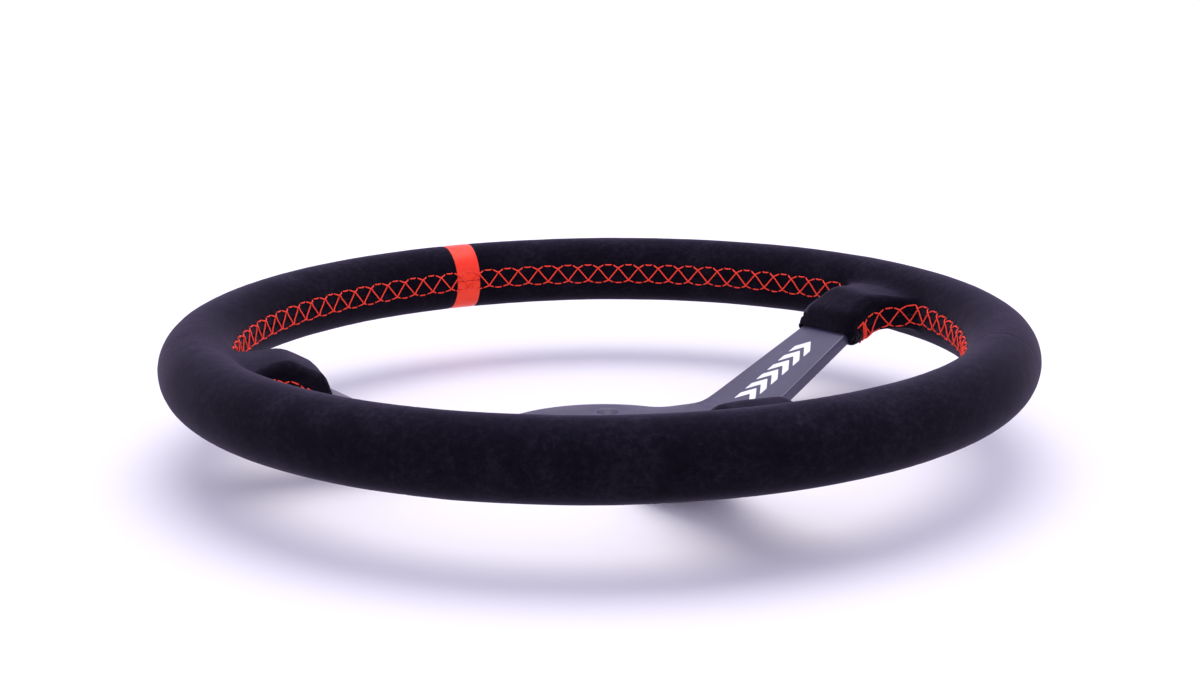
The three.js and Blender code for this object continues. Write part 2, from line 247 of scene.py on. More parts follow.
def circle_points(centre, radius, count):
    turns = np.arange(count) * 2 * math.pi / count
    return np.array(centre) + radius * np.stack([np.cos(turns), np.sin(turns)], 1)


plate_form = bmesh.new()
outline = plate_outline()
outer_points = np.array([p for p, n in outline])
outer_normals = np.array([n for p, n in outline])
broken = 0.55
edge_profile = [(broken * (1 - math.sin(t)), plate_half - broken * (1 - math.cos(t)))
                for t in np.linspace(0, math.pi / 2, 5)]
outer_profile = edge_profile + [(inset, -height) for inset, height in edge_profile[::-1]]
walls = [([outer_points - outer_normals * inset, height]) for inset, height in outer_profile]
loops = {"top": [], "bottom": []}


def wall(rings, outward):
    """Joins rings of (plan points, height) into a wall, and keeps its first and last loop."""
    rows = [[plate_form.verts.new((x / 1000, y / 1000, height / 1000)) for x, y in points]
            for points, height in rings]
    count = len(rows[0])
    for upper, lower in zip(rows, rows[1:]):
        for i in range(count):
            j = (i + 1) % count
            corners = (upper[j], upper[i], lower[i], lower[j])
            face = plate_form.faces.new(corners if outward else corners[::-1])
            face.smooth = True
            face.material_index = 1 if upper is rows[0] or lower is rows[-1] else 0
    loops["top"].append(rows[0])
    loops["bottom"].append(rows[-1])


wall(walls, True)
bore_radius, bolt_radius, bolt_circle, sink_radius, sink_depth = 26.0, 2.75, 35.0, 5.0, 2.2
wall([(circle_points((0, 0), bore_radius + inset, 96), height) for inset, height in outer_profile],
     False)
for i in range(6):
    centre = bolt_circle * clock_direction(30 + 60 * i)
    hole = [(sink_radius + 0.2, plate_half), (sink_radius + 0.05, plate_half - 0.05),
            (sink_radius - 0.1, plate_half - 0.2),
            (sink_radius - 0.35, plate_half - 0.45), (bolt_radius, plate_half - sink_depth),
            (bolt_radius, 0.4 - plate_half), (bolt_radius + 0.12, 0.12 - plate_half),
            (bolt_radius + 0.4, -plate_half)]
    wall([(circle_points(centre, radius, 40), height) for radius, height in hole], False)
for clock in spoke_clocks.values():
    out_way = clock_direction(clock)
    for side in (-rivet_side, rivet_side):
        centre = (spoke_end - 6) * out_way + side * np.array([out_way[1], -out_way[0]])
        ring = circle_points(centre, rivet_radius, 24)
        wall([(ring, plate_half), (ring, -plate_half)], False)
for side, facing in (("top", 1), ("bottom", -1)):
    edges = []
    for loop in loops[side]:
        for i, vertex in enumerate(loop):
            following = loop[(i + 1) % len(loop)]
            edges.append(plate_form.edges.get((vertex, following)))
    filled = bmesh.ops.triangle_fill(plate_form, use_beauty=True, edges=edges,
                                     normal=(0, 0, facing))
    for face in filled["geom"]:
        if isinstance(face, bmesh.types.BMFace):
            face.normal_update()
            if face.normal.z * facing < 0:
                face.normal_flip()
for clock in spoke_clocks.values():
    direction = clock_direction(clock)
    for out in [*np.arange(lower_bend - 9, lower_bend + 9.1, 1.5), 85, 100,
                *np.arange(upper_bend - 9, upper_bend + 9.1, 1.5)]:
        near = [f for f in plate_form.faces
                if np.dot(direction, f.calc_center_median().xy) * 1000 > hub_radius - 4]
        parts = list({v for f in near for v in f.verts}) + list({e for f in near for e in f.edges})
        bmesh.ops.bisect_plane(plate_form, geom=parts + near, dist=1e-6,
                               plane_co=(*(direction * out / 1000), 0), plane_no=(*direction, 0))
for vertex in plate_form.verts:
    x, y, z = (c * 1000 for c in vertex.co)
    clock = min(spoke_clocks.values(), key=lambda c: -np.dot(clock_direction(c), (x, y)))
    direction = clock_direction(clock)
    out = float(np.dot(direction, (x, y)))
    height, slope = plate_middle(np.array([out]))
    cosine = 1 / math.hypot(1, slope[0])
    shift = -z * slope[0] * cosine
    vertex.co = ((x + direction[0] * shift) / 1000, (y + direction[1] * shift) / 1000,
                 (rim_height + height[0] + z * cosine) / 1000)
bmesh.ops.triangulate(plate_form, faces=[f for f in plate_form.faces if len(f.verts) > 4])
plate_mesh = bpy.data.meshes.new("spoke_plate_finished")
plate_form.to_mesh(plate_mesh)
plate_form.free()


def anodised(name, dark, light, rough):
    material, shader = new_material(name)
    cloud = object_noise(material, 55, 5, 0.6)
    feed(material, ramp(material, cloud, [(0.25, dark), (0.8, light)]), shader.inputs["Base Color"])
    speckle = object_noise(material, 900, 3)
    feed(material, ramp(material, speckle, [(0.3, rough), (0.75, rough + 0.1)]),
         shader.inputs["Roughness"])
    shader.inputs["IOR"].default_value = 1.58
    grain = add_node(material, "ShaderNodeBump", Strength=0.3, Distance=0.00006,
                     Height=object_noise(material, 3200, 2))
    feed(material, grain.outputs["Normal"], shader.inputs["Normal"])
    return material


plate_mesh.materials.append(anodised("satin_black_anodising", (0.045, 0.039, 0.082),
                                     (0.062, 0.054, 0.108), 0.33))
plate_mesh.materials.append(anodised("broken_edge", (0.10, 0.09, 0.14),
                                     (0.17, 0.16, 0.22), 0.26))
plate_mesh.set_sharp_from_angle(angle=math.radians(32))
spoke_plate = bpy.data.objects.new("spoke_plate_finished", plate_mesh)
bpy.context.collection.objects.link(spoke_plate)
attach(spoke_plate, "root")
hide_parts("spoke_plate")


# ---- Print on the right spoke --------------------------------------------------------------------
# A white screen print on the spoke's face: a row of plain chevrons on a narrow line. The ink is a
# few hundredths thick, with soft corners and small pinholes.
print_start, print_length, print_width, chevrons = 71.0, 34.0, 11.0, 6
print_form = bmesh.new()
chevron_lean, chevron_arm = 4.4, print_length / chevrons - 2.2
right_out = clock_direction(spoke_clocks["right"])
right_side = np.array([right_out[1], -right_out[0]])


def ink_patch(corners):
    """A thin patch of ink on the spoke, from plan corners of (along the spoke, across it)."""
    base, upper = [], []
    for out, side in corners:
        height, slope = plate_middle(np.array([out]))
        cosine = 1 / math.hypot(1, slope[0])
        for row, lift in ((base, plate_half + 0.005), (upper, plate_half + 0.05)):
            plan = right_out * (out - lift * slope[0] * cosine) + right_side * side
            row.append(print_form.verts.new((plan[0] / 1000, plan[1] / 1000,
                                             (rim_height + height[0] + lift * cosine) / 1000)))
    count = len(corners)
    print_form.faces.new(upper)
    print_form.faces.new(base[::-1])
    for i in range(count):
        j = (i + 1) % count
        print_form.faces.new((base[i], base[j], upper[j], upper[i]))


def rounded(corners, radius=0.5, steps=3):
    """The corners of an outline, each replaced by a short curve."""
    result = []
    for i, here in enumerate(corners):
        here, before, after = (np.array(c, float) for c in (here, corners[i - 1],
                                                             corners[(i + 1) % len(corners)]))
        cut = min(radius, *(0.45 * np.linalg.norm(here - other) for other in (before, after)))
        start = here + (before - here) / np.linalg.norm(before - here) * cut
        end = here + (after - here) / np.linalg.norm(after - here) * cut
        for t in np.linspace(0, 1, steps + 1):
            result.append((1 - t) ** 2 * start + 2 * t * (1 - t) * here + t ** 2 * end)
    return result


for i in range(chevrons):
    x, half = print_start + i * print_length / chevrons, print_width / 2
    ink_patch(rounded([(x, -half), (x + chevron_arm, -half), (x + chevron_arm + chevron_lean, 0),
                       (x + chevron_arm, half), (x, half), (x + chevron_lean, 0)]))
bmesh.ops.recalc_face_normals(print_form, faces=print_form.faces)
bmesh.ops.triangulate(print_form, faces=print_form.faces)
print_mesh = bpy.data.meshes.new("spoke_chevron_print")
print_form.to_mesh(print_mesh)
print_form.free()
ink, ink_shader = new_material("white_screen_ink")
ink_speck = object_noise(ink, 2600, 3)
feed(ink, ramp(ink, ink_speck, [(0.28, (0.5, 0.5, 0.52)), (0.36, (0.88, 0.88, 0.9))]),
     ink_shader.inputs["Base Color"])
ink_shader.inputs["Roughness"].default_value = 0.55
ink_bump = add_node(ink, "ShaderNodeBump", Strength=0.3, Distance=0.0001, Height=ink_speck)
feed(ink, ink_bump.outputs["Normal"], ink_shader.inputs["Normal"])
print_mesh.materials.append(ink)
spoke_print = bpy.data.objects.new("spoke_chevron_print", print_mesh)
bpy.context.collection.objects.link(spoke_print)
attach(spoke_print, "root")
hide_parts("spoke_print")


# ---- Suede cover ---------------------------------------------------------------------------------
# Black suede of 1 mm, stretched round the foam in three panels that run out over the spokes as
# padded boots. The panels butt against each other, and their long edges are turned in and laced
# together along the inside of the rim and down both sides of each boot.
mouth_out = 114.6
mouth_height = float(plate_middle(np.array([mouth_out]))[0][0])
boot_side_wrap, boot_flare, fairing = 2.5, 19.0, 3.6
half_above_at_mouth, half_below_at_mouth = 3.7, 3.3
seam_over_rim, seam_under_boot = 0.44, 2.0
suede_thickness = 1.0


def eased(x):
    x = np.clip(x, 0, 1)
    return 1 - (1 - x) ** 2


def smooth_step(x):
    x = np.clip(x, 0, 1)
    return x * x * (3 - 2 * x)


def spoke_frame(points, clock):
    """Distance out along a spoke, clockwise across it, and height above its bent middle."""
    direction = clock_direction(clock)
    out = points[:, 0] * direction[0] + points[:, 1] * direction[1]
    across = points[:, 0] * direction[1] - points[:, 1] * direction[0]
    height, slope = plate_middle(out)
    return out, across, (points[:, 2] - height) / np.hypot(1, slope)


mouth_slants = {84.0: 0.08, 180.0: -0.02, 276.0: 0.03}


def past_mouth(points, clock):
    """Distance past the cut end of a boot, along the spoke's slope. The cut is a little askew."""
    direction = clock_direction(clock)
    out = points[:, :2] @ direction
    across = points[:, 0] * direction[1] - points[:, 1] * direction[0]
    return ((out - mouth_out) * math.cos(spoke_lean) - mouth_slants[clock] * (across - 14)
            + (points[:, 2] - mouth_height) * math.sin(spoke_lean))


def boot_widening(out):
    """How much wider a boot is than its spoke where it flares into the rim."""
    inner = rim_radius - grip_radius
    reach = np.clip(out - inner + boot_flare, 0, boot_flare)
    return boot_flare - np.sqrt(boot_flare ** 2 - reach ** 2)


def boot_surface(points, clock):
    """How far points lie outside one boot: a padded sleeve that flares into the rim."""
    out, across, lift = spoke_frame(points, clock)
    along = past_mouth(points, clock)
    straight = spoke_half_width(np.minimum(out, rim_radius - grip_radius)) + boot_side_wrap
    width = straight + boot_widening(out)
    crown = 1 - (across / straight) ** 2
    above = half_above_at_mouth + 2.2 * eased(along / 9) + 3.0 * smooth_step(along / 7)
    above = above - 1.9 * smooth_step((out - 124) / 16)
    above = above + 0.6 * eased(along / 12) * crown
    below = half_below_at_mouth + 4.2 * eased(along / 16) + 0.6 * eased(along / 12) * crown
    half = np.maximum(np.where(lift > 0, above, below), 2.2)
    corner = np.clip(0.55 * half, 2.0, 4.2)
    beside = np.abs(across) - (width - corner)
    over = np.abs(lift) - (half - corner)
    return (np.hypot(np.maximum(beside, 0), np.maximum(over, 0))
            + np.minimum(np.maximum(beside, over), 0) - corner)


def grip_surface(points):
    """How far points lie outside the finished grip: the rim's tube with the boots faired in."""
    tube = np.hypot(np.hypot(points[:, 0], points[:, 1]) - rim_radius, points[:, 2]) - grip_radius
    for clock in spoke_clocks.values():
        out = points[:, :2] @ clock_direction(clock)
        across = np.hypot(points[:, 0], points[:, 1]) ** 2 - out ** 2
        near = (out > 90) & (out < 158) & (across < 45 ** 2)
        if near.any():
            boot = boot_surface(points[near], clock)
            fair = np.maximum(1 - np.abs(boot - tube[near]) / fairing, 0)
            tube[near] = np.minimum(tube[near], boot) - fair ** 2 * fairing / 4
    return tube


def outward(points):
    """Unit normals of the grip's surface."""
    reach = np.hypot(points[:, 0], points[:, 1])
    slopes = points * np.column_stack([1 - rim_radius / reach] * 2 + [np.ones(len(points))])
    near = np.zeros(len(points), bool)
    for clock in spoke_clocks.values():
        near |= np.hypot(*(points[:, :2] - 130 * clock_direction(clock)).T) < 45
    step = 0.02
    for axis in range(3):
        offset = np.zeros(3)
        offset[axis] = step
        slopes[near, axis] = (grip_surface(points[near] + offset)
                              - grip_surface(points[near] - offset))
    return slopes / np.linalg.norm(slopes, axis=1)[:, None]


def settled(points, lift=0.0, rounds=6):
    """Moves points straight onto the grip's surface, or to a height above it."""
    points = points.copy()
    lift = np.broadcast_to(lift, len(points))
    moving = np.arange(len(points))
    for _ in range(rounds):
        error = grip_surface(points[moving]) - lift[moving]
        moving, error = moving[np.abs(error) > 1e-3], error[np.abs(error) > 1e-3]
        if len(moving):
            points[moving] -= error[:, None] * outward(points[moving])
    return points


def seam_distance(points):
    """Distance above the line where the laced edges meet, which runs lower on the boots' sides."""
    distance = points[:, 2] - seam_over_rim
    for clock in spoke_clocks.values():
        out, across, lift = spoke_frame(points, clock)
        near = (out > 90) & (np.abs(across) < 34)
        on_rim = smooth_step((np.abs(across) - 14) / 14)
        on_boot = lift + seam_under_boot * (1 - on_rim) - seam_over_rim * on_rim
        distance = np.where(near, on_boot, distance)
    return distance


def blank_form():
    """A rough closed form near the grip: the rim's tube and three tapered sleeves."""
    form = bmesh.new()

    def loft(rings, closed):
        rows = [[form.verts.new(p / 1000) for p in ring] for ring in rings]
        pairs = list(zip(rows, rows[1:])) + ([(rows[-1], rows[0])] if closed else [])
        for here, following in pairs:
            for i in range(len(here)):
                j = (i + 1) % len(here)
                form.faces.new((here[i], following[i], following[j], here[j]))
        if not closed:
            form.faces.new(rows[0])
            form.faces.new(rows[-1][::-1])

    turns = np.linspace(0, 2 * math.pi, 49)[:-1]
    tube = [np.stack([math.cos(a) * (rim_radius + grip_radius * np.cos(turns)),
                      math.sin(a) * (rim_radius + grip_radius * np.cos(turns)),
                      grip_radius * np.sin(turns)], 1)
            for a in np.linspace(0, 2 * math.pi, 241)[:-1]]
    loft(tube, True)
    for clock in spoke_clocks.values():
        direction = clock_direction(clock)
        sideways = np.array([direction[1], -direction[0]])
        rings = []
        for out in np.linspace(106, 158, 40):
            height, slope = plate_middle(np.array([out]))
            half = 3.5 + 4.3 * eased((out - 114) / 14)
            width = spoke_half_width(min(out, 145)) + boot_side_wrap + boot_widening(out)
            shape_x = np.sign(np.cos(turns)) * np.abs(np.cos(turns)) ** 0.5 * width
            shape_z = np.sign(np.sin(turns)) * np.abs(np.sin(turns)) ** 0.5 * half
            plan = direction * out + shape_x[:, None] * sideways
            plan = plan - (shape_z * slope[0] / math.hypot(1, slope[0]))[:, None] * direction
            rings.append(np.column_stack([plan, height[0] + shape_z / math.hypot(1, slope[0])]))
        loft(rings, False)
    bmesh.ops.recalc_face_normals(form, faces=form.faces)
    return form


def remeshed(form, cell):
    """A form's even skin of triangles, in millimetres, as points and corners."""
    mesh = bpy.data.meshes.new("blank")
    form.to_mesh(mesh)
    form.free()
    blank = bpy.data.objects.new("blank", mesh)
    bpy.context.collection.objects.link(blank)
    modifier = blank.modifiers.new("even_skin", "REMESH")
    modifier.mode = "VOXEL"
    modifier.voxel_size = cell / 1000
    depsgraph = bpy.context.evaluated_depsgraph_get()
    skin = bpy.data.meshes.new_from_object(blank.evaluated_get(depsgraph))
    bpy.data.objects.remove(blank)
    skin.calc_loop_triangles()
    points = np.empty(len(skin.vertices) * 3)
    skin.vertices.foreach_get("co", points)
    corners = np.empty(len(skin.loop_triangles) * 3, np.int32)
    skin.loop_triangles.foreach_get("vertices", corners)
    bpy.data.meshes.remove(skin)
    return points.reshape(-1, 3) * 1000, corners.reshape(-1, 3).astype(np.int64)


def scored(points, corners, value):
    """Splits triangles along the line where a value is nought, so that the mesh follows it."""
    def crossed():
        spread = value[corners]
        mixed = (spread.min(axis=1) < 0) & (spread.max(axis=1) > 0)
        few = corners[mixed]
        edges = np.unique(np.sort(np.concatenate([few[:, [0, 1]], few[:, [1, 2]], few[:, [2, 0]]]),
                                  axis=1), axis=0)
        edges = edges[value[edges[:, 0]] * value[edges[:, 1]] < 0]
        return mixed, edges, value[edges[:, 0]] / (value[edges[:, 0]] - value[edges[:, 1]])

    points, value = points.copy(), value.copy()
    mixed, edges, share = crossed()
    for column, fraction in ((0, share), (1, 1 - share)):
        close = fraction < 0.28
        order = np.argsort(-fraction[close])
        chosen, other = edges[close][order, column], edges[close][order, 1 - column]
        points[chosen] += (points[other] - points[chosen]) * fraction[close][order][:, None]
        value[chosen] = 0
    mixed, edges, share = crossed()
    fresh = points[edges[:, 0]] + (points[edges[:, 1]] - points[edges[:, 0]]) * share[:, None]
    number = {(a, b): len(points) + i for i, (a, b) in enumerate(edges.tolist())}
    split = []
    for triangle in corners[mixed].tolist():
        marks = [value[triangle[i]] * value[triangle[(i + 1) % 3]] < 0 for i in range(3)]
        i = marks.index(sum(marks) == 1)
        a, b, c = triangle[i], triangle[(i + 1) % 3], triangle[(i + 2) % 3]
        if sum(marks) == 1:
            middle = number[(min(a, b), max(a, b))]
            split += [[a, middle, c], [middle, b, c]]
        else:
            bc, ca = number[(min(b, c), max(b, c))], number[(min(c, a), max(c, a))]
            split += [[c, ca, bc], [ca, a, b], [ca, b, bc]]
    return (np.concatenate([points, fresh]),
            np.concatenate([corners[~mixed], np.array(split, np.int64).reshape(-1, 3)]))


def beyond_clock(points, clock):
    """Distance clockwise past a radial plane through the wheel's axis."""
    direction = clock_direction(clock)
    across = points[:, 0] * direction[1] - points[:, 1] * direction[0]
    ahead = points[:, :2] @ direction > 0
    return np.where(ahead, across, 999.0 * np.sign(across + 1e-9))


def on_inside(points):
    return np.hypot(points[:, 0], points[:, 1]) < 152


points, corners = remeshed(blank_form(), 1.2)
points = settled(points)
slit = 0.12
for level in (-1.4, -0.6, -slit, slit, 0.6, 1.4):
    value = np.where(on_inside(points), seam_distance(points) - level, 5.0)
    points, corners = scored(points, corners, value)
for clock in spoke_clocks.values():
    for level in (0.0, 0.3, 0.75, 1.5):
        near = np.hypot(*(points[:, :2] - 122 * clock_direction(clock)).T) < 26
        value = np.where(near, past_mouth(points, clock) - level, 5.0)
        points, corners = scored(points, corners, value)
joint_clocks = [(84 + 180) / 2, (180 + 276) / 2]
band_half = 6.15
band_gap, joint_gap = 0.06, 0.04
for clock in joint_clocks:
    for level in (-joint_gap, joint_gap):
        points, corners = scored(points, corners, beyond_clock(points, clock) - level)
for level in (-band_half - 0.7, -band_half - band_gap, -band_half + band_gap, -band_half + 0.7,
              band_half - 0.7, band_half - band_gap, band_half + band_gap, band_half + 0.7):
    reach = np.hypot(points[:, 0], points[:, 1]) / rim_radius
    points, corners = scored(points, corners, beyond_clock(points, 0.0) / reach - level)
points = settled(points, rounds=3)

middles = points[corners].mean(axis=1)
keep = ~(on_inside(middles) & (np.abs(seam_distance(middles)) < slit))
for clock in spoke_clocks.values():
    out, across, lift = spoke_frame(middles, clock)
    keep &= ~((past_mouth(middles, clock) < 0) & (out > 80) & (out < 128) & (np.abs(across) < 30))
for clock in joint_clocks:
    keep &= np.abs(beyond_clock(middles, clock)) > joint_gap
band_place = beyond_clock(middles, 0.0) / (np.hypot(middles[:, 0], middles[:, 1]) / rim_radius)
keep &= np.abs(np.abs(band_place) - band_half) > band_gap
corners, middles, band_place = corners[keep], middles[keep], band_place[keep]


# The laced edges are punched first. Each window's seam runs down one boot, round the inside of the
# rim and up the next boot, with a pair of holes for each short stitch that lies along an edge.
stitch_pitch, stitch_rise, stitch_half = 9.58, 4.2, 0.21
lace_start = 8.6
windows = {"top": (276.0, 84.0, 0.53), "lower_right": (84.0, 180.0, 0.5),
           "lower_left": (180.0, 276.0, 0.5)}


def on_seam(points, offset, lift):
    """Moves points to a distance above the seam and a height over the suede."""
    for _ in range(4):
        points = points + np.column_stack([np.zeros((len(points), 2)),
                                           offset - seam_distance(points)])
        points = settled(points, lift, 2)
    return points


def boot_edge(clock, sign):
    """Plan points along one side of a boot, from near its mouth to where it meets the rim."""
    inner = rim_radius - grip_radius
    out = np.linspace(mouth_out + 0.5, inner, 200)
    across = spoke_half_width(out) + boot_side_wrap + boot_widening(out)
    short = np.hypot(out, across) < inner
    direction = clock_direction(clock)
    sideways = sign * np.array([direction[1], -direction[0]])
    return out[short, None] * direction + across[short, None] * sideways


def seam_route(start_clock, end_clock):
    """Points every half millimetre along a window's seam."""
    first, last = boot_edge(start_clock, 1), boot_edge(end_clock, -1)[::-1]
    turns = [math.atan2(p[0], p[1]) for p in (first[-1], last[0])]
    if turns[1] < turns[0]:
        turns[1] += 2 * math.pi
    turns = np.linspace(*turns, 900)[1:-1]
    arc = (rim_radius - grip_radius) * np.stack([np.sin(turns), np.cos(turns)], 1)
    plan = np.concatenate([first, arc, last])
    route = on_seam(np.column_stack([plan, np.zeros(len(plan))]), 0.0, 0.0)
    run = np.concatenate([[0], np.cumsum(np.linalg.norm(np.diff(route, axis=0), axis=1))])
    even = np.linspace(0, run[-1], int(run[-1] / 0.5))
    return np.stack([np.interp(even, run, route[:, i]) for i in range(3)], 1), run[-1]


def lace_places(route, length, along, offset, lift):
    """Points on the suede at distances along a seam and above it."""
    even = np.linspace(0, length, len(route))
    start = np.stack([np.interp(along, even, route[:, i]) for i in range(3)], 1)
    return on_seam(start, offset, lift)


routes, punched = {}, []
for window, (start_clock, end_clock, phase) in windows.items():
    route, length = seam_route(start_clock, end_clock)
    stitches = round((length - 2 * lace_start) / stitch_pitch)
    pitch = (length - 2 * lace_start) / stitches
    routes[window] = (route, length, pitch, stitches, phase)
    for row, shift in ((1, phase), (-1, phase + 0.5)):
        centres = lace_start + (np.arange(-1, stitches) + shift) * pitch
        along = np.concatenate([centres - stitch_half * pitch, centres + stitch_half * pitch])
        along = along[(along > lace_start) & (along < length - lace_start)]
        offset = np.full(len(along), row * stitch_rise)
        punched.append(lace_places(route, length, along, offset, 0.0))
punched = np.concatenate(punched)


# Relief is added along the surface's normals: slow unevenness, the pulled-in seam, the boots'
# rolled mouths with their folds and gathered corners, the joints, and a dimple at each hole.
normals = outward(points)
relief = np.array([0.10 * noise.noise(p * 0.045) + 0.05 * noise.noise(p * 0.16)
                   for p in map(Vector, points.tolist())])
seam = np.abs(seam_distance(points))
in_leather = np.abs(beyond_clock(points, 0.0)) < band_half
pull = np.where(in_leather, 0.30, 0.85)
relief -= np.where(on_inside(points), pull * np.exp(-(seam / 0.75) ** 1.5), 0)
for clock in spoke_clocks.values():
    along = past_mouth(points, clock)
    near = np.hypot(*(points[:, :2] - 122 * clock_direction(clock)).T) < 28
    edge = 1 - np.clip(along / 1.5, 0, 1)
    relief -= np.where(near, 0.55 * (1 - np.sqrt(1 - edge ** 2)), 0)
    relief += np.where(near, 0.18 * np.exp(-((along - 3.2) / 1.6) ** 2), 0)
    fold = np.array([noise.noise(Vector(p) * 0.11 + Vector((clock, 3, 7))) for p in points[near]])
    relief[near] += 0.30 * fold * np.exp(-(np.maximum(along[near] - 14, 0) / 10) ** 2)
    out, across, lift = spoke_frame(points[near], clock)
    beside = np.abs(across) > spoke_half_width(out)
    gather = np.where(beside, np.exp(-((along[near] - 3.5) / 2.4) ** 2 - (lift / 3.6) ** 2), 0)
    crumple = np.array([noise.noise(Vector(p) * 0.42 + Vector((clock, 9, 1)))
                        for p in points[near]])
    relief[near] += gather * (1.2 * crumple - 0.2)
for clock in joint_clocks:
    relief -= 0.10 * np.exp(-(beyond_clock(points, clock) / 0.6) ** 2)
band_distance = np.abs(np.abs(beyond_clock(points, 0.0)
                              / (np.hypot(points[:, 0], points[:, 1]) / rim_radius)) - band_half)
relief -= 0.30 * np.exp(-band_distance / 0.45)
holes = KDTree(len(punched))
for i, p in enumerate(punched):
    holes.insert(p, i)
holes.balance()
for i in np.flatnonzero(on_inside(points) & (seam > 2) & (seam < 7)):
    nearest = holes.find(points[i])[2]
    relief[i] -= 0.32 * math.exp(-(nearest / 1.1) ** 2)
outer_skin = points + normals * relief[:, None]
inner_skin = points + normals * (relief - suede_thickness)[:, None]


def skin_panel(name, chosen, material):
    """A panel of the cover as a closed sheet of suede's thickness, from its chosen triangles, with
    a weight that paints light on its upward-facing tops.
    """
    own = corners[chosen]
    used, renumbered = np.unique(own, return_inverse=True)
    own = renumbered.reshape(-1, 3)
    count = len(used)
    edges = np.concatenate([own[:, [0, 1]], own[:, [1, 2]], own[:, [2, 0]]])
    keys = np.sort(edges, axis=1)
    order, inverse, times = np.unique(keys, axis=0, return_inverse=True, return_counts=True)[0:3]
    rim = edges[times[inverse.ravel()] == 1]
    walls = np.concatenate([np.column_stack([rim[:, 1], rim[:, 0], rim[:, 0] + count]),
                            np.column_stack([rim[:, 1], rim[:, 0] + count, rim[:, 1] + count])])
    faces = np.concatenate([own, own[:, ::-1] + count, walls])
    places = np.concatenate([outer_skin[used], inner_skin[used]]) / 1000
    places[:, 2] += rim_height / 1000
    mesh = bpy.data.meshes.new(name)
    mesh.from_pydata(places.tolist(), [], faces.tolist())
    mesh.polygons.foreach_set("use_smooth", [True] * len(faces))
    mesh.set_sharp_from_angle(angle=math.radians(60))
    mesh.materials.append(material)
    mesh.update()
    # Painted light: a weight, the cube of how far each point's normal faces up, that lightens the
    # cover's tops in its colour as the overhead light would.
    top = np.tile(np.clip(normals[used, 2], 0, 1) ** 3, 2)
    mesh.attributes.new("painted_top_light", "FLOAT", "POINT").data.foreach_set("value", top)
    panel = bpy.data.objects.new(name, mesh)
    bpy.context.collection.objects.link(panel)
    return panel


suede, suede_shader = new_material("black_suede")
brushed = object_noise(suede, 45, 4, 0.6)
tufts = object_noise(suede, 420, 3, 0.6)
nap = object_noise(suede, 2300, 3, 0.7)
patches = add_node(suede, "ShaderNodeMath", {"operation": "MULTIPLY"}, in_0=brushed, in_1=0.35)
mottle = add_node(suede, "ShaderNodeMath", {"operation": "MULTIPLY_ADD"},
                  in_0=tufts, in_1=0.30, in_2=patches.outputs[0])
fibres = add_node(suede, "ShaderNodeMath", {"operation": "MULTIPLY_ADD"},
                  in_0=nap, in_1=0.35, in_2=mottle.outputs[0])
# Painted light: the nap colour is scaled from 1.05 times on the sides up to 2.3 times on
# upward-facing tops, so the tops read as lit from above.
painted_top_light = add_node(suede, "ShaderNodeAttribute", {"attribute_name": "painted_top_light"})
painted_light_gain = add_node(suede, "ShaderNodeMath", {"operation": "MULTIPLY_ADD"},
                   in_0=painted_top_light.outputs["Fac"], in_1=1.25, in_2=1.05)
nap_colour = ramp(suede, fibres.outputs[0], [(0.34, (0.0016, 0.0013, 0.0029)),
                                             (0.50, (0.0040, 0.0032, 0.0068)),
                                             (0.66, (0.0118, 0.0099, 0.0164))])
nap_colour_with_painted_top_light = add_node(suede, "ShaderNodeVectorMath", {"operation": "SCALE"},
                      in_0=nap_colour, Scale=painted_light_gain.outputs[0])
feed(suede, nap_colour_with_painted_top_light.outputs["Vector"], suede_shader.inputs["Base Color"])
suede_shader.inputs["Roughness"].default_value = 1.0
suede_shader.inputs["Specular IOR Level"].default_value = 0.04
suede_shader.inputs["Sheen Weight"].default_value = 0.38
suede_shader.inputs["Sheen Roughness"].default_value = 0.36
suede_shader.inputs["Sheen Tint"].default_value = (0.32, 0.27, 0.39, 1)
suede_bump = add_node(suede, "ShaderNodeBump", Strength=0.5, Distance=0.00010, Height=nap)
feed(suede, suede_bump.outputs["Normal"], suede_shader.inputs["Normal"])

middle_clock = np.degrees(np.arctan2(middles[:, 0], middles[:, 1])) % 360
in_band = np.abs(band_place) < band_half
for side, chosen in (
        ("right", ~in_band & (middle_clock < joint_clocks[0])),
        ("bottom", (middle_clock >= joint_clocks[0]) & (middle_clock < joint_clocks[1])),
        ("left", ~in_band & (middle_clock >= joint_clocks[1]))):
    panel = skin_panel("suede_panel_" + side, chosen, suede)
    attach(panel, "root")
    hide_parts("cover_" + side)


# ---- Marker band ---------------------------------------------------------------------------------
# A strip of smooth red coated leather at 12 o'clock, let in flush between two suede panels so that
# the driver sees when the wheels point straight ahead.
band_leather, band_shader = new_material("red_coated_leather")
band_cells = object_noise(band_leather, 1100, kind="ShaderNodeTexVoronoi")
feed(band_leather, ramp(band_leather, object_noise(band_leather, 90, 3),
                        [(0.3, (0.90, 0.026, 0.006)), (0.75, (0.98, 0.056, 0.014))]),
     band_shader.inputs["Base Color"])
feed(band_leather, ramp(band_leather, band_cells, [(0.1, 0.46), (0.6, 0.34)]),
     band_shader.inputs["Roughness"])
band_shader.inputs["Specular IOR Level"].default_value = 0.3
band_bump = add_node(band_leather, "ShaderNodeBump", Strength=0.22, Distance=0.0001,
                     Height=band_cells)
feed(band_leather, band_bump.outputs["Normal"], band_shader.inputs["Normal"])
band = skin_panel("red_marker_band", in_band, band_leather)
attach(band, "root")
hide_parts("marker_band")


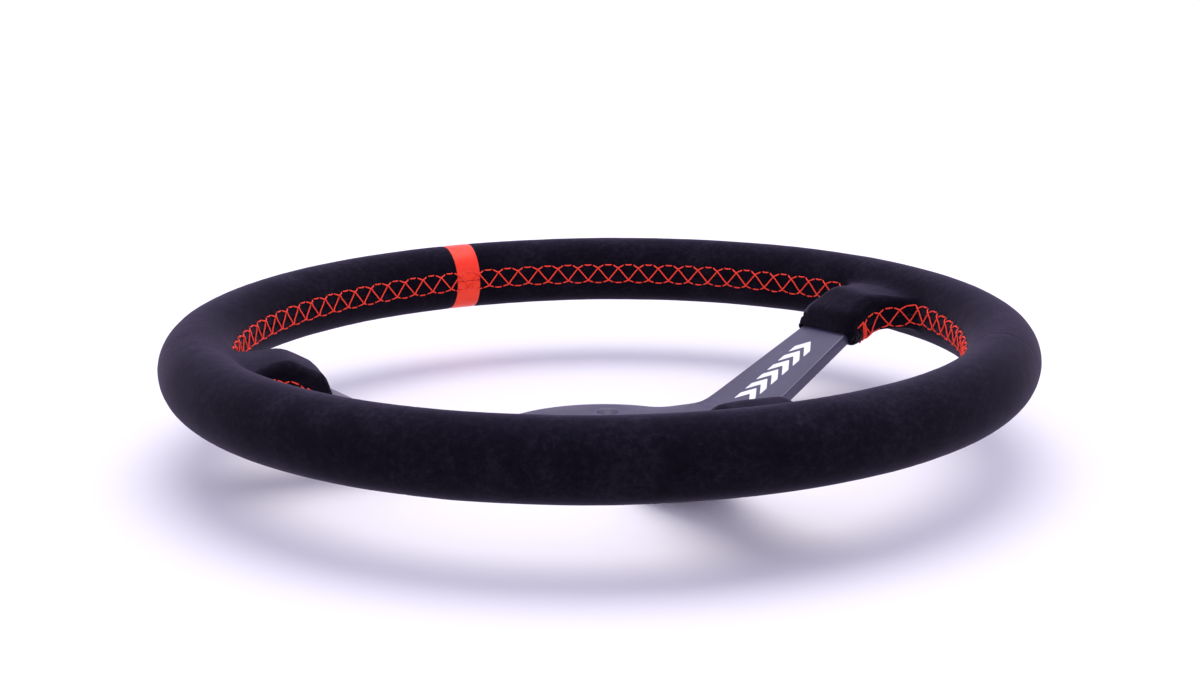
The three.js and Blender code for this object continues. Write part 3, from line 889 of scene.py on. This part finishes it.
# ---- Foam ----------------------------------------------------------------------------------------
# Black polyurethane foam moulded over the hoop and the spokes' ends, one closed body just inside
# the suede. Only its pores would show if the cover came off.
foam_points, foam_corners = remeshed(blank_form(), 2.4)
foam_points = settled(foam_points, -suede_thickness - 0.25)
for clock in spoke_clocks.values():
    past = past_mouth(foam_points, clock)
    near = (np.hypot(*(foam_points[:, :2] - 112 * clock_direction(clock)).T) < 30) & (past < 3)
    direction = np.append(clock_direction(clock) * math.cos(spoke_lean), math.sin(spoke_lean))
    foam_points[near] += (3 - past[near])[:, None] * direction
foam_form = bmesh.new()
foam_corners_placed = foam_points / 1000 + [0, 0, rim_height / 1000]
foam_verts = [foam_form.verts.new(p) for p in foam_corners_placed.tolist()]
for triangle in foam_corners.tolist():
    foam_form.faces.new([foam_verts[i] for i in triangle]).smooth = True
foam_mesh = bpy.data.meshes.new("moulded_foam")
foam_form.to_mesh(foam_mesh)
foam_form.free()
foam_skin, foam_shader = new_material("black_moulded_foam")
foam_pores = object_noise(foam_skin, 700, kind="ShaderNodeTexVoronoi")
# Painted shade: the foam is darkest at the middle of each pore, where the bump sinks into a pit.
feed(foam_skin, ramp(foam_skin, foam_pores, [(0.05, (0.006, 0.006, 0.007)),
                                             (0.5, (0.03, 0.03, 0.032))]),
     foam_shader.inputs["Base Color"])
foam_shader.inputs["Roughness"].default_value = 0.92
foam_bump = add_node(foam_skin, "ShaderNodeBump", Strength=0.8, Distance=0.0006, Height=foam_pores)
feed(foam_skin, foam_bump.outputs["Normal"], foam_shader.inputs["Normal"])
foam_mesh.materials.append(foam_skin)
foam = bpy.data.objects.new("moulded_foam", foam_mesh)
bpy.context.collection.objects.link(foam)
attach(foam, "root")
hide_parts("foam_grip")


# ---- Lacing --------------------------------------------------------------------------------------
# Waxed red thread of 0.64 mm. Three strands run round each window, each with a short stitch along
# one edge, then across the seam and a short stitch along the other. They end in a tight tie-off
# on the side of each boot, and black thread closes the last few millimetres to the mouth.
thread_tree = bpy.data.node_groups.new("thread_along_path", "GeometryNodeTree")
for socket_name, in_out, kind in (("Geometry", "INPUT", "NodeSocketGeometry"),
                                  ("Thread radius", "INPUT", "NodeSocketFloat"),
                                  ("Sides", "INPUT", "NodeSocketInt"),
                                  ("Thread", "INPUT", "NodeSocketMaterial"),
                                  ("Geometry", "OUTPUT", "NodeSocketGeometry")):
    thread_tree.interface.new_socket(socket_name, in_out=in_out, socket_type=kind)


def tree_node(kind, settings=None, **inputs):
    node = thread_tree.nodes.new(kind)
    for name, value in (settings or {}).items():
        setattr(node, name, value)
    for name, value in inputs.items():
        socket = node.inputs[name.replace("_", " ")]
        if isinstance(value, bpy.types.NodeSocket):
            thread_tree.links.new(value, socket)
        else:
            socket.default_value = value
    return node


group_in = tree_node("NodeGroupInput")
paths = tree_node("GeometryNodeMeshToCurve", Mesh=group_in.outputs["Geometry"])
run_along = tree_node("GeometryNodeSplineParameter").outputs["Length"]
marked = tree_node("GeometryNodeStoreNamedAttribute", {"data_type": "FLOAT", "domain": "POINT"},
                   Geometry=paths.outputs["Curve"], Name="along", Value=run_along)
section = tree_node("GeometryNodeCurvePrimitiveCircle", Resolution=group_in.outputs["Sides"],
                    Radius=group_in.outputs["Thread radius"])
section_place = tree_node("GeometryNodeInputPosition").outputs["Position"]
scaled_place = thread_tree.nodes.new("ShaderNodeVectorMath")
scaled_place.operation = "NORMALIZE"
thread_tree.links.new(section_place, scaled_place.inputs[0])
section_marked = tree_node("GeometryNodeStoreNamedAttribute",
                           {"data_type": "FLOAT_VECTOR", "domain": "POINT"},
                           Geometry=section.outputs["Curve"], Name="around",
                           Value=scaled_place.outputs["Vector"])
swept = tree_node("GeometryNodeCurveToMesh", Curve=marked.outputs["Geometry"],
                  Profile_Curve=section_marked.outputs["Geometry"], Fill_Caps=True)
real = tree_node("GeometryNodeRealizeInstances", Geometry=swept.outputs["Mesh"])
painted = tree_node("GeometryNodeSetMaterial", Geometry=real.outputs["Geometry"],
                    Material=group_in.outputs["Thread"])
tree_node("NodeGroupOutput", Geometry=painted.outputs["Geometry"])


def sewn(name, strands, radius, material):
    """Turns strands, as lists of points in millimetres, into one mesh of round thread."""
    places, edges = [], []
    for strand in strands:
        first = len(places)
        places += (strand / 1000 + [0, 0, rim_height / 1000]).tolist()
        edges += [(i, i + 1) for i in range(first, len(places) - 1)]
    mesh = bpy.data.meshes.new(name + "_path")
    mesh.from_pydata(places, edges, [])
    carrier = bpy.data.objects.new(name + "_path", mesh)
    bpy.context.collection.objects.link(carrier)
    modifier = carrier.modifiers.new("sewing", "NODES")
    modifier.node_group = thread_tree
    values = {"Thread radius": radius / 1000, "Sides": 7, "Thread": material}
    for item in thread_tree.interface.items_tree:
        if item.item_type == "SOCKET" and item.in_out == "INPUT" and item.name in values:
            modifier[item.identifier] = values[item.name]
    result = bpy.data.meshes.new_from_object(
        carrier.evaluated_get(bpy.context.evaluated_depsgraph_get()))
    bpy.data.objects.remove(carrier)
    result.polygons.foreach_set("use_smooth", [True] * len(result.polygons))
    result.name = name
    thread = bpy.data.objects.new(name, result)
    bpy.context.collection.objects.link(thread)
    return thread


def twisted_thread(name, dark, light):
    """Thread whose two plies wind round each other, from how far along and round it a point is. Its
    colour is painted darker in the grooves between the plies, as shade.
    """
    material, shader = new_material(name)
    around = add_node(material, "ShaderNodeAttribute", {"attribute_name": "around"})
    along = add_node(material, "ShaderNodeAttribute", {"attribute_name": "along"})
    parts = add_node(material, "ShaderNodeSeparateXYZ", Vector=around.outputs["Vector"])
    turn = add_node(material, "ShaderNodeMath", {"operation": "ARCTAN2"},
                    in_0=parts.outputs["Y"], in_1=parts.outputs["X"])
    winding = add_node(material, "ShaderNodeMath", {"operation": "MULTIPLY"},
                       in_0=along.outputs["Fac"], in_1=2 * math.pi / 0.0011)
    phase = add_node(material, "ShaderNodeMath", {"operation": "MULTIPLY_ADD"},
                     in_0=turn.outputs[0], in_1=2.0, in_2=winding.outputs[0])
    plies = add_node(material, "ShaderNodeMath", {"operation": "SINE"}, in_0=phase.outputs[0])
    height = add_node(material, "ShaderNodeMath", {"operation": "MULTIPLY_ADD"},
                      in_0=plies.outputs[0], in_1=0.5, in_2=0.5)
    # Painted shade: the dark end of the ramp lies in the grooves between the plies, the light end
    # on their crowns.
    feed(material, ramp(material, height.outputs[0], [(0.0, dark), (0.45, light)]),
         shader.inputs["Base Color"])
    shader.inputs["Roughness"].default_value = 0.55
    shader.inputs["Specular IOR Level"].default_value = 0.3
    bump = add_node(material, "ShaderNodeBump", Strength=0.6, Distance=0.0001,
                    Height=height.outputs[0])
    feed(material, bump.outputs["Normal"], shader.inputs["Normal"])
    return material


# The darker colour of each pair is the painted shade in the grooves between the plies.
red_thread = twisted_thread("red_waxed_thread", (0.66, 0.014, 0.008), (1.0, 0.060, 0.026))
black_thread = twisted_thread("black_waxed_thread", (0.002, 0.002, 0.0025), (0.008, 0.007, 0.010))


def laid(route, length, corners_laid, crossings, ends, step=0.6):
    """A strand laid taut over the suede through (along, offset) corners.
    It rides over the strands it crosses, and dips where it enters a hole."""
    legs = []
    for here, following in zip(corners_laid, corners_laid[1:]):
        count = max(1, int(math.dist(here, following) / step))
        legs += [np.array(here) + (np.array(following) - here) * i / count for i in range(count)]
    legs = np.array(legs + [corners_laid[-1]])
    lift = np.full(len(legs), 0.24)
    for (along, offset), rise in crossings:
        lift += rise * np.exp(-((legs[:, 0] - along) ** 2 + (legs[:, 1] - offset) ** 2) / 1.3 ** 2)
    for along, offset in ends:
        lift -= 1.15 * np.exp(-((legs[:, 0] - along) ** 2 + (legs[:, 1] - offset) ** 2) / 0.75 ** 2)
    return lace_places(route, length, legs[:, 0], legs[:, 1], lift)


red_radius, black_radius = 0.32, 0.36
tie_off_turns = ((-0.6, 0.9), (-0.1, 1.2), (0.35, 0.3), (0.8, 1.5), (0.2, 0.7))
closing_turns = ((1.6, 2.7, -3.0), (2.9, 1.5, -2.4), (3.9, 3.1, -1.6), (5.2, 2.2, -0.6))
for window, (route, length, pitch, stitches, phase) in routes.items():
    strands, closing = [], []
    low, high = lace_start, length - lace_start
    cross = 0.69 * stitch_rise
    for strand in range(3):
        laid_corners, crossings, ends = [], [], []
        for i in range(strand - 3, stitches + 3, 3):
            centre = lace_start + (i + phase) * pitch
            for middle, row in ((centre, 1), (centre + 1.5 * pitch, -1)):
                half = stitch_half * pitch
                stitch = [(middle - half, row * stitch_rise), (middle + half, row * stitch_rise)]
                laid_corners += stitch + [(middle + 0.5 * pitch, row * cross),
                                          (middle + 1.0 * pitch, -row * cross)]
                ends += stitch
                crossings += [((middle + 0.5 * pitch, row * cross), 0.58),
                              ((middle + 1.0 * pitch, -row * cross), -0.06)]
        offsets = dict(laid_corners)
        for limit in (low, high):
            offsets[limit] = float(np.interp(limit, *zip(*laid_corners)))
        kept = [corner for corner in sorted(offsets.items()) if low <= corner[0] <= high]
        strands.append(laid(route, length, kept, crossings, ends))
    for end, sign in ((low, 1), (high, -1)):
        for i, (shift, lean) in enumerate(tie_off_turns):
            top = (end + sign * shift, stitch_rise * (1.02 - 0.04 * i))
            foot = (end + sign * (shift + lean), -stitch_rise * (0.92 + 0.03 * i))
            strands.append(laid(route, length, [top, foot], [((end, 0.0), 0.18 * i)],
                                [top, foot], 0.9))
        strands.append(laid(route, length, [(end - sign * 4.6, stitch_rise * 0.86),
                                            (end - sign * 0.4, stitch_rise)], [],
                            [(end - sign * 4.6, stitch_rise * 0.86)]))
        for i, (shift, high_end, low_end) in enumerate(closing_turns):
            top = (end - sign * shift, high_end)
            foot = (end - sign * (shift + 0.5 - 0.7 * (i % 2)), low_end)
            closing.append(laid(route, length, [top, foot], [((end - sign * shift, 0.0), 0.35)],
                                [top, foot]))
    lacing = sewn("red_lacing_" + window, strands, red_radius, red_thread)
    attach(lacing, "root")
    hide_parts("lacing_" + window)
    closing_thread = sewn("black_closing_stitches_" + window, closing, black_radius,
                          black_thread)
    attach(closing_thread, "root")
